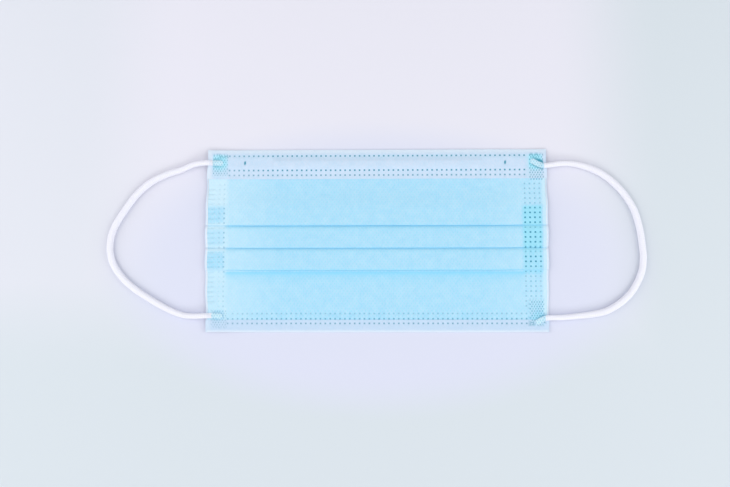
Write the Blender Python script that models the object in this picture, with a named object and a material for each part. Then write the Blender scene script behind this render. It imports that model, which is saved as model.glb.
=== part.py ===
"""Surgical face mask of the pleated kind, lying flat on its inner side with the blue front up.

Metres, +Z up. X runs from ear to ear, +Y points to the nose edge, and the origin is on the table under
the middle of the cloth. The bonded plies are one wall, folded into pleats that face down. Both side
edges are welded shut, and a cord is welded to the front of each corner to make the ear loops.
"""

import math

import bmesh
import bpy
from mathutils import Vector

# The folded mask
MASK_WIDTH = 0.1750
MASK_HEIGHT = 0.0950
CLOTH = 0.0010
CLEARANCE = 0.0003

# The pleats, counted down from the nose edge
PLEATS = 3
FIRST_FOLD = 0.0400
PLEAT_DEPTH = 0.0096
PLEAT_STRIP = 0.0020
RISE_ANGLE = math.radians(50)
TURN_STEPS = 5

# The side seams, where the pleats are pressed and welded into one thickness
SEAM_WIDTH = 0.0125
SEAM_THICKNESS = 0.0022
SEAM_SLOPE = 0.0030
SEAM_BITE = 0.0005
SEAM_PRESS = 0.00005

# The turned margins of the white inner ply, and the wire in the upper one
TOP_HEM_DEPTH = 0.0157
BOTTOM_HEM_DEPTH = 0.0066
HEM_CORNER = 0.0006
WIRE_LENGTH = 0.1060
WIRE_WIDTH = 0.0040
WIRE_THICKNESS = 0.0008
WIRE_CORNER = 0.0010
RIDGE_SLOPE = 0.0012

# The side edges stand a little off the table
LIFT_LEFT = 0.0012
LIFT_RIGHT = 0.0006
LIFT_WIDTH = 0.0320
STATION_STEP = 0.0080

# The ear loops: round cords with flattened ends
LOOP_DIAMETER = 0.0030
LOOP_POINTS = 25
CURVE_STEPS = 16
WELD_SIDES = 10
EDGE_REACH = 0.0030
LANDING = 0.0160

# Each welded end: which side, which long edge, whether it lies on the hem, then how far its outer face
# and its tip lie in from the side edge and from the long edge
WELDS = {
    "top_left": dict(side=-1, edge=1, on_hem=True, face=(0.0025, 0.0070), tip=(0.0100, 0.0070)),
    "bottom_left": dict(side=-1, edge=-1, on_hem=False, face=(0.0032, 0.0088), tip=(0.0102, 0.0088)),
    "top_right": dict(side=1, edge=1, on_hem=True, face=(0.0020, 0.0093), tip=(0.0080, 0.0082)),
    "bottom_right": dict(side=1, edge=-1, on_hem=True, face=(0.0020, 0.0076), tip=(0.0074, 0.0065)),
}

# Sections of a welded end, from the round cord to the pressed tip: how far along, width and height as
# shares of the length and of the cord's diameter
WELD_SECTIONS = [
    dict(along=0.00, width=1.00, height=0.95),
    dict(along=0.22, width=1.12, height=0.70),
    dict(along=0.45, width=1.24, height=0.42),
    dict(along=0.85, width=1.24, height=0.38),
    dict(along=1.00, width=1.00, height=0.34),
]

# Routes of the two cords on the table, from the upper to the lower corner: how far out from the side
# edge, and how far up from the middle
LEFT_ROUTE = [
    (0.0075, 0.0394),
    (0.0140, 0.0369),
    (0.0230, 0.0340),
    (0.0310, 0.0298),
    (0.0381, 0.0232),
    (0.0441, 0.0148),
    (0.0488, 0.0067),
    (0.0508, -0.0018),
    (0.0498, -0.0098),
    (0.0457, -0.0173),
    (0.0391, -0.0238),
    (0.0310, -0.0294),
    (0.0216, -0.0348),
    (0.0140, -0.0380),
    (0.0075, -0.0390),
]
RIGHT_ROUTE = [
    (0.0072, 0.0393),
    (0.0142, 0.0391),
    (0.0234, 0.0364),
    (0.0310, 0.0320),
    (0.0384, 0.0247),
    (0.0438, 0.0161),
    (0.0466, 0.0068),
    (0.0479, -0.0024),
    (0.0483, -0.0100),
    (0.0469, -0.0177),
    (0.0425, -0.0260),
    (0.0369, -0.0317),
    (0.0294, -0.0363),
    (0.0216, -0.0382),
    (0.0140, -0.0391),
    (0.0072, -0.0397),
]

# Sizes that follow from the ones above
LAYER = CLOTH + CLEARANCE
PLEAT_SPACING = PLEAT_DEPTH + PLEAT_STRIP
FOLD_RADIUS = LAYER / 2
STACK_HEIGHT = 2 * LAYER + CLOTH
HEM_HEIGHT = LAYER + CLOTH
SIDE_EDGE = MASK_WIDTH / 2
SEAM_INNER = SIDE_EDGE - SEAM_WIDTH


def lift_at(x):
    """How far the cloth stands off the table at x."""
    into = max(0.0, abs(x) - (SIDE_EDGE - LIFT_WIDTH)) / LIFT_WIDTH
    return (LIFT_LEFT if x < 0 else LIFT_RIGHT) * into**2


def stations(start, end):
    """Places along X, close enough together to follow the lift of the side edges."""
    steps = max(1, math.ceil(abs(end - start) / STATION_STEP))
    return [start + (end - start) * i / steps for i in range(steps + 1)]


def turn(centre, radius, start, end):
    """Points of an arc in a plane; the angles are in degrees, from its first axis towards its second."""
    angles = [math.radians(start + (end - start) * i / TURN_STEPS) for i in range(TURN_STEPS + 1)]
    return [(centre[0] + radius * math.cos(a), centre[1] + radius * math.sin(a)) for a in angles]


def wall(line, thickness):
    """The closed outline of a wall that follows a line of (down, height) points, with mitred corners."""
    points = [Vector(p) for p in line]
    sides = []
    for i, point in enumerate(points):
        before = (point - points[i - 1]).normalized() if i else None
        after = (points[i + 1] - point).normalized() if i + 1 < len(points) else None
        before, after = before or after, after or before
        along = (before + after).normalized()
        reach = thickness / 2 / along.dot(after)
        across = Vector((-along.y, along.x)) * reach
        sides.append((point + across, point - across))
    return [s[0] for s in sides] + [s[1] for s in reversed(sides)]


def loft(name, sections):
    """A closed body through outlines that have the same number of points, each a list of vectors."""
    bm = bmesh.new()
    rings = [[bm.verts.new(p) for p in section] for section in sections]
    count = len(rings[0])
    for near, far in zip(rings, rings[1:]):
        for i in range(count):
            j = (i + 1) % count
            bm.faces.new((near[i], near[j], far[j], far[i]))
    bm.faces.new(reversed(rings[0]))
    bm.faces.new(rings[-1])
    bmesh.ops.recalc_face_normals(bm, faces=bm.faces)
    mesh = bpy.data.meshes.new(name)
    bm.to_mesh(mesh)
    bm.free()
    piece = bpy.data.objects.new(name, mesh)
    bpy.context.collection.objects.link(piece)
    return piece


def section_at(x, outline):
    """An outline of (down, height) points as a section across the mask at x."""
    return [Vector((x, MASK_HEIGHT / 2 - down, height)) for down, height in outline]


def raise_sides(piece):
    """Lifts each point of a piece as the cloth is lifted there."""
    for vertex in piece.data.vertices:
        vertex.co.z += lift_at(vertex.co.x)


def finish(piece, colour, roughness, metallic=0.0):
    """Gives a piece a material of its own."""
    material = bpy.data.materials.new(piece.name)
    material.use_nodes = True
    shader = material.node_tree.nodes["Principled BSDF"]
    shader.inputs["Base Color"].default_value = (*colour, 1.0)
    shader.inputs["Roughness"].default_value = roughness
    shader.inputs["Metallic"].default_value = metallic
    piece.data.materials.append(material)


def fold_at(pleat):
    """How far down the visible fold line of a pleat lies."""
    return FIRST_FOLD + pleat * PLEAT_SPACING


def rise_before(pleat):
    """Where the cloth starts and ends its rise from the table onto a pleat."""
    middle = fold_at(pleat) - PLEAT_DEPTH - PLEAT_STRIP / 2
    half_run = LAYER / math.tan(RISE_ANGLE)
    return middle - half_run, middle + half_run


def pleated_line():
    """The middle line of the folded cloth in section, from the nose edge to the chin edge."""
    low, middle, high = (CLOTH / 2 + i * LAYER for i in range(3))
    nose = CLOTH / 2 + LAYER * 1.5
    heel = CLOTH / 2 + LAYER * 0.5
    reach = FOLD_RADIUS + CLOTH / 2
    line = [(LAYER, low)]
    for pleat in range(PLEATS):
        start, end = rise_before(pleat)
        fold = fold_at(pleat)
        line += [(start, low), (end, high)]
        line += turn((fold - reach, nose), FOLD_RADIUS, 90, -90)
        line += turn((fold - PLEAT_DEPTH + reach, heel), FOLD_RADIUS, 90, 270)
    return line + [(MASK_HEIGHT - LAYER, low)]


def seam_outline(stack):
    """The side seam in section: one thickness, thicker where the pleats lie over each other."""
    single = CLOTH + SEAM_PRESS
    outline = [(LAYER, SEAM_PRESS), (LAYER, single)]
    fold = 0.0
    for pleat in range(PLEATS):
        start, end = (place - SEAM_PRESS - CLOTH / 2 for place in rise_before(pleat))
        foot = max(start, fold)
        outline.append((foot, single + (stack - single) * (foot - start) / (end - start)))
        fold = fold_at(pleat) + SEAM_PRESS
        outline += [(end, stack), (fold, stack)]
    return outline + [(fold, single), (MASK_HEIGHT - LAYER, single), (MASK_HEIGHT - LAYER, SEAM_PRESS)]


def side_seam(side):
    """The solid, welded margin on one side, which the pleated cloth runs into."""
    full = STACK_HEIGHT + SEAM_PRESS
    places = [(SEAM_INNER, full), (SEAM_INNER + 2 * SEAM_BITE, full)]
    places += [(x, SEAM_THICKNESS) for x in stations(SEAM_INNER + SEAM_SLOPE, SIDE_EDGE)]
    return loft("seam", [section_at(side * x, seam_outline(stack)) for x, stack in places])


def pleated_body():
    """The folded cloth between the seams, joined with the two seams."""
    outline = wall(pleated_line(), CLOTH)
    reach = SEAM_INNER + SEAM_BITE
    cloth = loft("pleated_cloth", [section_at(x, outline) for x in stations(-reach, reach)])
    seams = [side_seam(side) for side in (-1, 1)]
    for seam in seams:
        joined = cloth.modifiers.new("seam", "BOOLEAN")
        joined.operation = "UNION"
        joined.object = seam
    evaluated = cloth.evaluated_get(bpy.context.evaluated_depsgraph_get())
    mesh = bpy.data.meshes.new_from_object(evaluated)
    body = bpy.data.objects.new("pleated_body", mesh)
    bpy.context.collection.objects.link(body)
    for piece in (cloth, *seams):
        bpy.data.objects.remove(piece)
    raise_sides(body)
    finish(body, (0.42, 0.75, 0.95), 0.85)


def hem_line(depth, ridge):
    """The middle line of a turned margin: up round the cut edge, then flat on the front, over the wire."""
    height = HEM_HEIGHT - CLOTH / 2
    corner = turn((CLOTH / 2 + HEM_CORNER, height - HEM_CORNER), HEM_CORNER, 180, 90)
    line = [(CLOTH / 2, 0.0)] + corner
    if ridge is not None:
        half = WIRE_WIDTH / 2 + CLOTH / 2 + CLEARANCE
        line.append((depth / 2 - half - RIDGE_SLOPE, height))
        line.append((depth / 2 - half, height + ridge))
        line.append((depth / 2 + half, height + ridge))
        line.append((depth / 2 + half + RIDGE_SLOPE, height))
    return line + [(depth, height)]


def top_hem():
    """The upper turned margin, with a ridge over the nose wire."""
    ridge = WIRE_THICKNESS + CLEARANCE
    ridge_end = WIRE_LENGTH / 2 + CLEARANCE
    slope_end = ridge_end + RIDGE_SLOPE
    half = [(x, ridge) for x in stations(0.0, ridge_end)]
    half += [(x, 0.0) for x in stations(slope_end, SIDE_EDGE)]
    places = [(-x, height) for x, height in reversed(half[1:])] + half
    hem = loft("top_hem", [section_at(x, wall(hem_line(TOP_HEM_DEPTH, r), CLOTH)) for x, r in places])
    raise_sides(hem)
    finish(hem, (0.66, 0.80, 0.94), 0.85)


def bottom_hem():
    """The lower turned margin."""
    outline = [(MASK_HEIGHT - down, height) for down, height in wall(hem_line(BOTTOM_HEM_DEPTH, None), CLOTH)]
    hem = loft("bottom_hem", [section_at(x, outline) for x in stations(-SIDE_EDGE, SIDE_EDGE)])
    raise_sides(hem)
    finish(hem, (0.62, 0.80, 0.94), 0.85)


def nose_wire():
    """A flat wire with blunt ends, between the body and the top hem."""
    half = WIRE_LENGTH / 2
    places = turn((half - WIRE_CORNER, WIRE_WIDTH / 2 - WIRE_CORNER), WIRE_CORNER, 0, 90)
    places += [(x, WIRE_WIDTH / 2) for x in stations(half - WIRE_CORNER, 0.0)[1:]]
    places += [(-x, width) for x, width in reversed(places[:-1])]
    low, high = LAYER, LAYER + WIRE_THICKNESS
    middle = TOP_HEM_DEPTH / 2
    corners = ((-1, low), (1, low), (1, high), (-1, high))
    wire = loft("nose_wire", [section_at(x, [(middle + s * w, z) for s, z in corners]) for x, w in places])
    raise_sides(wire)
    finish(wire, (0.75, 0.77, 0.80), 0.45, metallic=0.6)


def weld_place(weld, inset, from_edge):
    """A point on the front of the mask, given from a corner's two edges; its height is the seat's."""
    x = weld["side"] * (SIDE_EDGE - inset)
    seat = HEM_HEIGHT if weld["on_hem"] else CLOTH + SEAM_PRESS
    return Vector((x, weld["edge"] * (MASK_HEIGHT / 2 - from_edge), seat + CLEARANCE))


def loop_weld(name, weld):
    """The end of a cord, pressed flat as it is welded to the mask."""
    face, tip = weld_place(weld, *weld["face"]), weld_place(weld, *weld["tip"])
    across = (tip - face).cross(Vector((0, 0, 1))).normalized()
    rings = []
    for section in WELD_SECTIONS:
        middle = face.lerp(tip, section["along"])
        width, height = (LOOP_DIAMETER / 2 * section[key] for key in ("width", "height"))
        angles = [2 * math.pi * (i + 0.5) / WELD_SIDES for i in range(WELD_SIDES)]
        base = height * max(abs(math.sin(a)) for a in angles)
        spread = [(width * math.cos(a), base + height * math.sin(a)) for a in angles]
        rings.append([middle + across * aside + Vector((0, 0, up)) for aside, up in spread])
    piece = loft(name, rings)
    raise_sides(piece)
    finish(piece, (0.88, 0.88, 0.96), 0.8)


def smooth_route(points, count):
    """Points at even distances along a smooth curve that passes through all the given points."""
    fine = []
    for i in range(len(points) - 1):
        p0, p1, p2, p3 = (points[min(max(k, 0), len(points) - 1)] for k in (i - 1, i, i + 1, i + 2))
        for step in range(CURVE_STEPS):
            t = step / CURVE_STEPS
            fine.append(0.5 * (2 * p1 + (p2 - p0) * t + (2 * p0 - 5 * p1 + 4 * p2 - p3) * t**2
                               + (3 * p1 - p0 - 3 * p2 + p3) * t**3))
    fine.append(points[-1])
    lengths = [0.0]
    for near, far in zip(fine, fine[1:]):
        lengths.append(lengths[-1] + (far - near).length)
    route, k = [], 0
    for i in range(count):
        goal = lengths[-1] * i / (count - 1)
        while k < len(fine) - 2 and lengths[k + 1] < goal:
            k += 1
        share = (goal - lengths[k]) / (lengths[k + 1] - lengths[k])
        route.append(fine[k].lerp(fine[k + 1], share))
    return route


def leaving(weld):
    """The first two points of a cord as it leaves a welded end: at its face, and out over the side edge."""
    face, tip = weld_place(weld, *weld["face"]), weld_place(weld, *weld["tip"])
    away = (face - tip).normalized()
    radius = Vector((0, 0, LOOP_DIAMETER / 2))
    start = face + away * CLEARANCE + radius
    over = start + away * (weld["face"][0] + EDGE_REACH) * 0.5
    over.x = weld["side"] * (SIDE_EDGE + EDGE_REACH)
    for point in (start, over):
        point.z += lift_at(point.x)
    return [start, over]


def on_table(side, route, upper, lower):
    """The cord's points beyond the side edges, coming down from the height of each end to the table."""
    points = []
    for i, (out, up) in enumerate(route):
        high = (upper if i < len(route) / 2 else lower).z
        share = min(1.0, (out - EDGE_REACH) / (LANDING - EDGE_REACH))
        height = LOOP_DIAMETER / 2 + (high - LOOP_DIAMETER / 2) * (1 - share * share * (3 - 2 * share))
        points.append(Vector((side * (SIDE_EDGE + out), up, height)))
    return points


def ear_loop(name, side, route, upper, lower):
    """A round cord from one welded end to the other, lying on the table between them."""
    first, last = leaving(upper), leaving(lower)
    points = first + on_table(side, route, first[1], last[1]) + last[::-1]
    curve = bpy.data.curves.new(name, "CURVE")
    curve.dimensions = "3D"
    curve.bevel_depth = LOOP_DIAMETER / 2
    curve.bevel_resolution = 2
    curve.use_fill_caps = True
    line = curve.splines.new("POLY")
    line.points.add(LOOP_POINTS - 1)
    for point, place in zip(line.points, smooth_route(points, LOOP_POINTS)):
        point.co = (*place, 1.0)
    loop = bpy.data.objects.new(name, curve)
    bpy.context.collection.objects.link(loop)
    finish(loop, (0.88, 0.88, 0.96), 0.8)


for old in list(bpy.data.objects):
    bpy.data.objects.remove(old)
pleated_body()
top_hem()
bottom_hem()
nose_wire()
for corner, placed in WELDS.items():
    loop_weld("loop_weld_" + corner, placed)
ear_loop("ear_loop_left", -1, LEFT_ROUTE, WELDS["top_left"], WELDS["bottom_left"])
ear_loop("ear_loop_right", 1, RIGHT_ROUTE, WELDS["top_right"], WELDS["bottom_right"])
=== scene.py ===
"""The looks of a pleated surgical face mask that lies on its inner side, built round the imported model.

The cloth is cut flat, embossed with its weld marks while flat, and then folded, as the real one is.
Lengths are in metres, +Z is up, +X points to the right-hand ear loop and +Y to the nose edge.
"""

import math

import bmesh
import bpy
import numpy as np
from mathutils import Euler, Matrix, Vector


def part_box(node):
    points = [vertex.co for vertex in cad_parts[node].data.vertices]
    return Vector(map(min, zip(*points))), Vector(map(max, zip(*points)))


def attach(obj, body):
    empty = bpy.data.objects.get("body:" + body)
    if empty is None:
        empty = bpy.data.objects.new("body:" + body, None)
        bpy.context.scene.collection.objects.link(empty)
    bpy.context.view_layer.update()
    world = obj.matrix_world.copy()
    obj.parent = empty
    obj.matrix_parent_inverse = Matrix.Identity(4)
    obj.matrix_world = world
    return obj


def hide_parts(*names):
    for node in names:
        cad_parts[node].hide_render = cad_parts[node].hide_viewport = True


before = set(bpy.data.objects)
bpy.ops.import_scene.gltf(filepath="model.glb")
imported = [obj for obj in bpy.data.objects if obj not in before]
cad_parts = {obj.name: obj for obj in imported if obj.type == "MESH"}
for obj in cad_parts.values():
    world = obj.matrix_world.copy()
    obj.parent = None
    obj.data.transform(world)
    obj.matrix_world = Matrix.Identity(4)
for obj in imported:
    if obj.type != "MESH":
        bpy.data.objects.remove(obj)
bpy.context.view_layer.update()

# Outer ply.
# Light blue spunbond polypropylene, cut as one rectangle, welded to the plies behind it in rows of small
# square marks and folded into three pleats that face down. Its side edges stop short of the white ply's.
HEM_LOW, HEM_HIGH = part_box("top_hem")
CHIN_LOW, CHIN_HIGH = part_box("bottom_hem")
HALF_WIDTH = HEM_HIGH.x
TOP_EDGE = HEM_HIGH.y
MASK_HEIGHT = HEM_HIGH.y - CHIN_LOW.y
TOP_HEM = HEM_HIGH.y - HEM_LOW.y
CHIN_HEM = CHIN_HIGH.y - CHIN_LOW.y

# The pleats: each fold's distance from the nose edge, how far the cloth goes back under it, and the soft
# steps where it climbs onto a pleat, the first of them long and slow
FOLDS = (0.0400, 0.0516, 0.0632)
PLEAT_DEPTH = 0.0103
FIRST_RISE = 0.0120
FIRST_RISE_ABOVE = 0.8
RISE = 0.0022
RISE_SHIFT = 0.0003

# The pitch of a pleat's layers and half the thickness of one, in the soft middle of the mask and at its
# seams, and how far to the side the middle ends and the seams start
LOFT = (0.00057, 0.00026)
PRESS = (0.00036, 0.00016)
LOFT_END = 0.0640
PRESS_START = 0.0770

# The cloth itself: the thickness of a ply, how far the blue one stops short of the edges, how far the
# lowest layer stays off the table, the cushion of filter above the pleats, and the thinner nose edge
PLY = 0.00014
OUTER_START = 0.0010
OUTER_INSET = 0.0009
OFF_TABLE = 0.00001
CUSHION = 0.00040
NOSE_PINCH = 0.00048
NOSE_PINCH_START = 0.0004
NOSE_PINCH_WIDTH = 0.0032

# How finely the cloth is gridded where it shows, where it doesn't, and in its bends
STEP = 0.0013
HIDDEN_STEP = 0.0030
ARC_ROWS = 7
RISE_ROWS = 7

# Marks of the welding rollers: their size, their pitch across the mask, how far out they go, their places
# down from the nose edge, and how deep and steep each is pressed in
MARK = 0.00096
MARK_PITCH = 0.0025
MARK_PHASE = 0.0012
MARK_REACH = 0.084
SIDE_MARKS_START = 0.0184
SIDE_MARKS_PITCH = 0.002516
SIDE_MARKS = [SIDE_MARKS_START + SIDE_MARKS_PITCH * k for k in range(26)]
TOP_MARKS = (0.00363, 0.01115, 0.01370)
CHIN_MARKS = (MASK_HEIGHT - 0.00985, MASK_HEIGHT - 0.00718)
HEM_MARK = MASK_HEIGHT - 0.00479
MARK_DEPTH = 0.00010
MARK_WALL = 0.00012

# Two short dashes pressed through the nose hem beyond the wire's ends: their x, the reach of the finer
# grid round each, and its step
CRIMPS = (-0.0683, 0.0663)
CRIMP_REACH = 0.0011
CRIMP_STEP = 0.00035

# Knurled patches that weld the ear loops on: low and high x, low and high distance from the nose edge; then
# the pitch and height of the knurl, and how finely the grid is cut for it
PATCHES = {
    "top_left": (-0.0851, -0.0771, 0.0028, 0.0140),
    "top_right": (0.0784, 0.0861, 0.0030, 0.0168),
    "bottom_left": (-0.0845, -0.0768, 0.0830, 0.0922),
    "bottom_right": (0.0780, 0.0857, 0.0782, 0.0910),
}
KNURL_ACROSS = 0.00135
KNURL_DOWN = 0.00115
KNURL_HEIGHT = 0.00012
KNURL_CUTS = 3


def paint(red, green, blue):
    """A colour given as 0 to 255, as the eye sees it, in the linear values that a shader takes."""
    shares = [c / 255 for c in (red, green, blue)]
    linear = [c / 12.92 if c <= 0.04045 else ((c + 0.055) / 1.055) ** 2.4 for c in shares]
    return (*linear, 1.0)


def ease(share):
    """0 to 1 with a soft start and end."""
    share = np.clip(share, 0.0, 1.0)
    return share * share * (3 - 2 * share)


def stops(start, end, marks, step):
    """Places from start to end: the two sides of each mark, and even steps between them."""
    places = [start, end]
    for mark in marks:
        places += [p for p in (mark - MARK / 2, mark + MARK / 2) if start + MARK / 4 < p < end - MARK / 4]
    places.sort()
    fine = []
    for near, far in zip(places, places[1:]):
        count = max(1, math.ceil((far - near) / step - 0.2))
        fine += [near + (far - near) * i / count for i in range(count)]
    return fine + [end]


def arc(centre, radius, start, end):
    """Points of an arc in the section; the angles are in degrees, from +down towards +height."""
    angles = [math.radians(start + (end - start) * i / ARC_ROWS) for i in range(1, ARC_ROWS)]
    return [(centre[0] + radius * math.cos(a), centre[1] + radius * math.sin(a)) for a in angles]


def rise(start, width, low, lift, offset, marks=()):
    """The soft step up onto a pleat, seen from one face of the cloth."""
    points = []
    for down in stops(start, start + width, marks, width / RISE_ROWS)[1:-1]:
        share = (down - start) / width
        slope = lift * 6 * share * (1 - share) / width
        normal = Vector((-slope, 1)).normalized() * offset
        height = low + lift * share * share * (3 - 2 * share)
        points.append((start + width * share + normal.x, height + normal.y))
    return points


def pinch(down):
    """How far the nose edge is pressed thinner than the rest of the hem."""
    return NOSE_PINCH * (1 - float(ease((down - NOSE_PINCH_START) / NOSE_PINCH_WIDTH)))


def pleated(gap, half, face, start, end):
    """The section of one face of the folded cloth as rows of (down, height, side that shows).

    gap is the pitch of the layers in a pleat, half is half the thickness of one layer, and face is 1 for
    the front and -1 for the back.
    """
    low = half + OFF_TABLE
    middle = low + gap
    high = low + 2 * gap
    bulge = LOFT[0] / 2 + LOFT[1]
    cushion = CUSHION if face > 0 else 0.0
    marks = [*SIDE_MARKS, *CHIN_MARKS, *TOP_MARKS, HEM_MARK]
    rows = []

    def straight(begin, finish, height, shows):
        step = STEP if shows else HIDDEN_STEP
        for down in stops(begin, finish, marks if shows else (), step):
            rows.append((down, height, shows))

    at = start
    for number, fold in enumerate(FOLDS):
        first = number == 0
        nose, heel = fold - bulge, fold - PLEAT_DEPTH + bulge
        if first:
            before = fold - PLEAT_DEPTH - FIRST_RISE * FIRST_RISE_ABOVE
            width = FIRST_RISE
        else:
            before = (FOLDS[number - 1] + fold - PLEAT_DEPTH) / 2 - RISE / 2 - RISE_SHIFT
            width = RISE
        floor = low + (cushion if first else 0.0)
        # The panel above, and the step up onto the pleat
        straight(at, before, floor + face * half, face if first or face < 0 else 0)
        step_marks = marks if first and face > 0 else ()
        rows += [(*p, face) for p in rise(before, width, floor, high - floor, face * half, step_marks)]
        straight(before + width, nose, high + face * half, 1 if face > 0 else 0)
        # Round the fold, back under it, and round again to run on below
        rows += [(*p, face) for p in arc((nose, middle + gap / 2), gap / 2 + face * half, 90, -90)]
        for down in stops(heel, nose, (), HIDDEN_STEP)[::-1]:
            rows.append((down, middle - face * half, 0))
        rows += [(*p, face) for p in arc((heel, low + gap / 2), gap / 2 - face * half, 90, 270)]
        at = heel
    if face > 0:
        straight(at, FOLDS[-1], low + half, 0)
        at = FOLDS[-1] + MARK / 8
    straight(at, end, low + face * half, face)
    return [(down, height - pinch(down) * (face > 0), shows) for down, height, shows in rows]


def outer_rows(gap, half):
    """The front face of the blue ply, from the chin edge to the nose edge."""
    return pleated(gap, half, 1, OUTER_START, MASK_HEIGHT - OUTER_START)[::-1]


class Folding:
    """Where the points of a flat cut go when it is folded: soft in the middle, pressed at the seams."""

    def __init__(self, section):
        self.middle = np.array([row[:2] for row in section(*LOFT)])
        self.seam = np.array([row[:2] for row in section(*PRESS)])
        self.shows = np.array([row[2] for row in section(*LOFT)])
        steps = np.linalg.norm(np.diff(self.middle, axis=0), axis=1)
        self.flat = np.concatenate([[0.0], np.cumsum(np.maximum(steps, 0.00002))])

    def across(self, table):
        """The direction that each row's outer side faces."""
        along = np.gradient(table, axis=0)
        facing = np.stack([along[:, 1], -along[:, 0]], axis=1)
        return facing / np.maximum(np.linalg.norm(facing, axis=1, keepdims=True), 1e-12)

    def at(self, table, flat):
        """Rows of a table at places on the flat cut, with what lies between two rows blended."""
        return np.stack([np.interp(flat, self.flat, table[:, k]) for k in (0, 1)], axis=1)

    def down(self, flat):
        """How far below the nose edge a place on the flat cut ends up."""
        return np.interp(flat, self.flat, self.middle[:, 0])

    def side(self, flat):
        """1 where a place on the flat cut shows from the front, -1 from the back and 0 inside a pleat."""
        row = np.clip(np.searchsorted(self.flat, flat) - 1, 0, len(self.flat) - 2)
        return np.where(self.shows[row] == self.shows[row + 1], self.shows[row], 0)

    def fold(self, points, heights):
        """Folds flat points, each raised by its height above the cloth's own face."""
        x, flat = points[:, 0], points[:, 1]
        loft = ease((PRESS_START - np.abs(x)) / (PRESS_START - LOFT_END))[:, None]
        place = self.at(self.middle, flat) * loft + self.at(self.seam, flat) * (1 - loft)
        facing = self.at(self.across(self.middle), flat) * loft
        facing = facing + self.at(self.across(self.seam), flat) * (1 - loft)
        facing /= np.maximum(np.linalg.norm(facing, axis=1, keepdims=True), 1e-9)
        place = place + facing * heights[:, None]
        return np.stack([x, TOP_EDGE - place[:, 0], place[:, 1]], axis=1)


# How the cloth lies on the table: how far its side edges lift, over what width and how unevenly, how deep
# its waves are, how far the side edges bow out and over what half length, and how wavy they are
LIFT_LEFT = 0.0009
LIFT_RIGHT = 0.0006
LIFT_WIDTH = 0.032
LIFT_SWAY = 0.35
LIFT_SWAY_RATE = 62
WAVE_DEPTH = 0.05
BOW_LEFT = -0.0010
BOW_RIGHT = 0.0004
BOW_REACH = 0.040
EDGE_WAVE = 0.00012


def side_lift(x, y, into):
    """How far the cloth's side is off the table; into is 0 where the lift starts and 1 at the edge."""
    lift = np.where(x < 0, LIFT_LEFT, LIFT_RIGHT) * into**2
    return lift * (1 + LIFT_SWAY * np.sin(y * LIFT_SWAY_RATE + np.sign(x)))


def settle(points):
    """Lays folded points on the table: the side edges lift a little and the cloth is never quite flat."""
    x, y, z = points.T
    into = np.clip((np.abs(x) - (HALF_WIDTH - LIFT_WIDTH)) / LIFT_WIDTH, 0, None)
    wave = np.sin(x * 71 + 1.3) * np.sin(y * 96 + 0.4) + 0.6 * np.sin(x * 163 - y * 110)
    wave += 0.4 * np.sin(x * 37 + y * 209 + 2.1)
    z = z * (1 + WAVE_DEPTH * wave) + side_lift(x, y, into)
    edge = (np.abs(x) / HALF_WIDTH) ** 12
    x = x + edge * EDGE_WAVE * np.sin(y * 410) * np.sign(x)
    bowed = np.where(x < 0, BOW_LEFT, BOW_RIGHT) * np.clip(1 - (y / BOW_REACH) ** 2, 0, 1)
    x = x + bowed * (np.abs(x) / HALF_WIDTH) ** 40
    return np.stack([x, y, z], axis=1)


def columns(edge):
    """Places across the mask from one side edge to the other, fitted to the weld marks."""
    count = int(MARK_REACH / MARK_PITCH)
    marks = [MARK_PHASE + MARK_PITCH * k for k in range(-count - 1, count + 1)]
    places = stops(-edge, edge, marks, STEP)
    for crimp in CRIMPS:
        places = [p for p in places if abs(p - crimp) > CRIMP_REACH]
        places += [crimp + k * CRIMP_STEP for k in range(-3, 4)]
    return sorted(places)


def cut_flat(edge, folding):
    """A flat cut of cloth, gridded for its marks and folds."""
    across, along = columns(edge), folding.flat
    bm = bmesh.new()
    bmesh.ops.create_grid(bm, x_segments=len(across) - 1, y_segments=len(along) - 1, size=0.5)
    for vert in bm.verts:
        i = round((vert.co.x + 0.5) * (len(across) - 1))
        j = round((vert.co.y + 0.5) * (len(along) - 1))
        vert.co = (across[i], along[j], 0.0)
    return bm


def knurl(x, y):
    """The knurled relief: -1 at the bottom of each pit, 1 on the ridges between them."""
    return -np.cos(2 * np.pi * x / KNURL_ACROSS) * np.cos(np.pi * y / KNURL_DOWN)


def in_patch(x, down, margin=0.0):
    """Which patch a place lies in, or None."""
    for name, (left, right, top, bottom) in PATCHES.items():
        if left - margin <= x <= right + margin and top - margin <= down <= bottom + margin:
            return name
    return None


# Rows of marks: low and high x, places down from the nose edge, how strongly the cloth has melted at each
# place, and whether the marks of a row run together
RIGHT_MELT = (
    [0.40] * 5
    + [0.85, 1.15, 1.1, 1.0, 0.5]
    + [1.05, 1.1, 1.05, 0.75, 0.45]
    + [1.15, 1.05, 0.8, 0.5]
    + [0.36] * 7
)
LEFT_MELT = (
    [0.16] * 5
    + [0.38, 0.42, 0.40, 0.34, 0.12]
    + [0.42, 0.40, 0.36, 0.30, 0.12]
    + [0.36, 0.40, 0.36, 0.30]
    + [0.16] * 7
)
MARK_ROWS = [
    dict(low=0.0750, high=0.0825, downs=SIDE_MARKS, melts=RIGHT_MELT),
    dict(low=0.0825, high=0.0850, downs=SIDE_MARKS, melts=[0.8 * m for m in RIGHT_MELT]),
    dict(low=-0.0800, high=-0.0775, downs=SIDE_MARKS, melts=LEFT_MELT),
    dict(low=-0.0825, high=-0.0800, downs=SIDE_MARKS, melts=[0.45 * m for m in LEFT_MELT]),
    dict(low=-0.0872, high=-0.0826, downs=SIDE_MARKS[1:25], melts=[0.07] * 24, joined=True),
    dict(low=-0.0745, high=0.0775, downs=CHIN_MARKS[:1], melts=[0.34]),
    dict(low=-0.0770, high=0.0800, downs=CHIN_MARKS[1:], melts=[0.62]),
]
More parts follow.
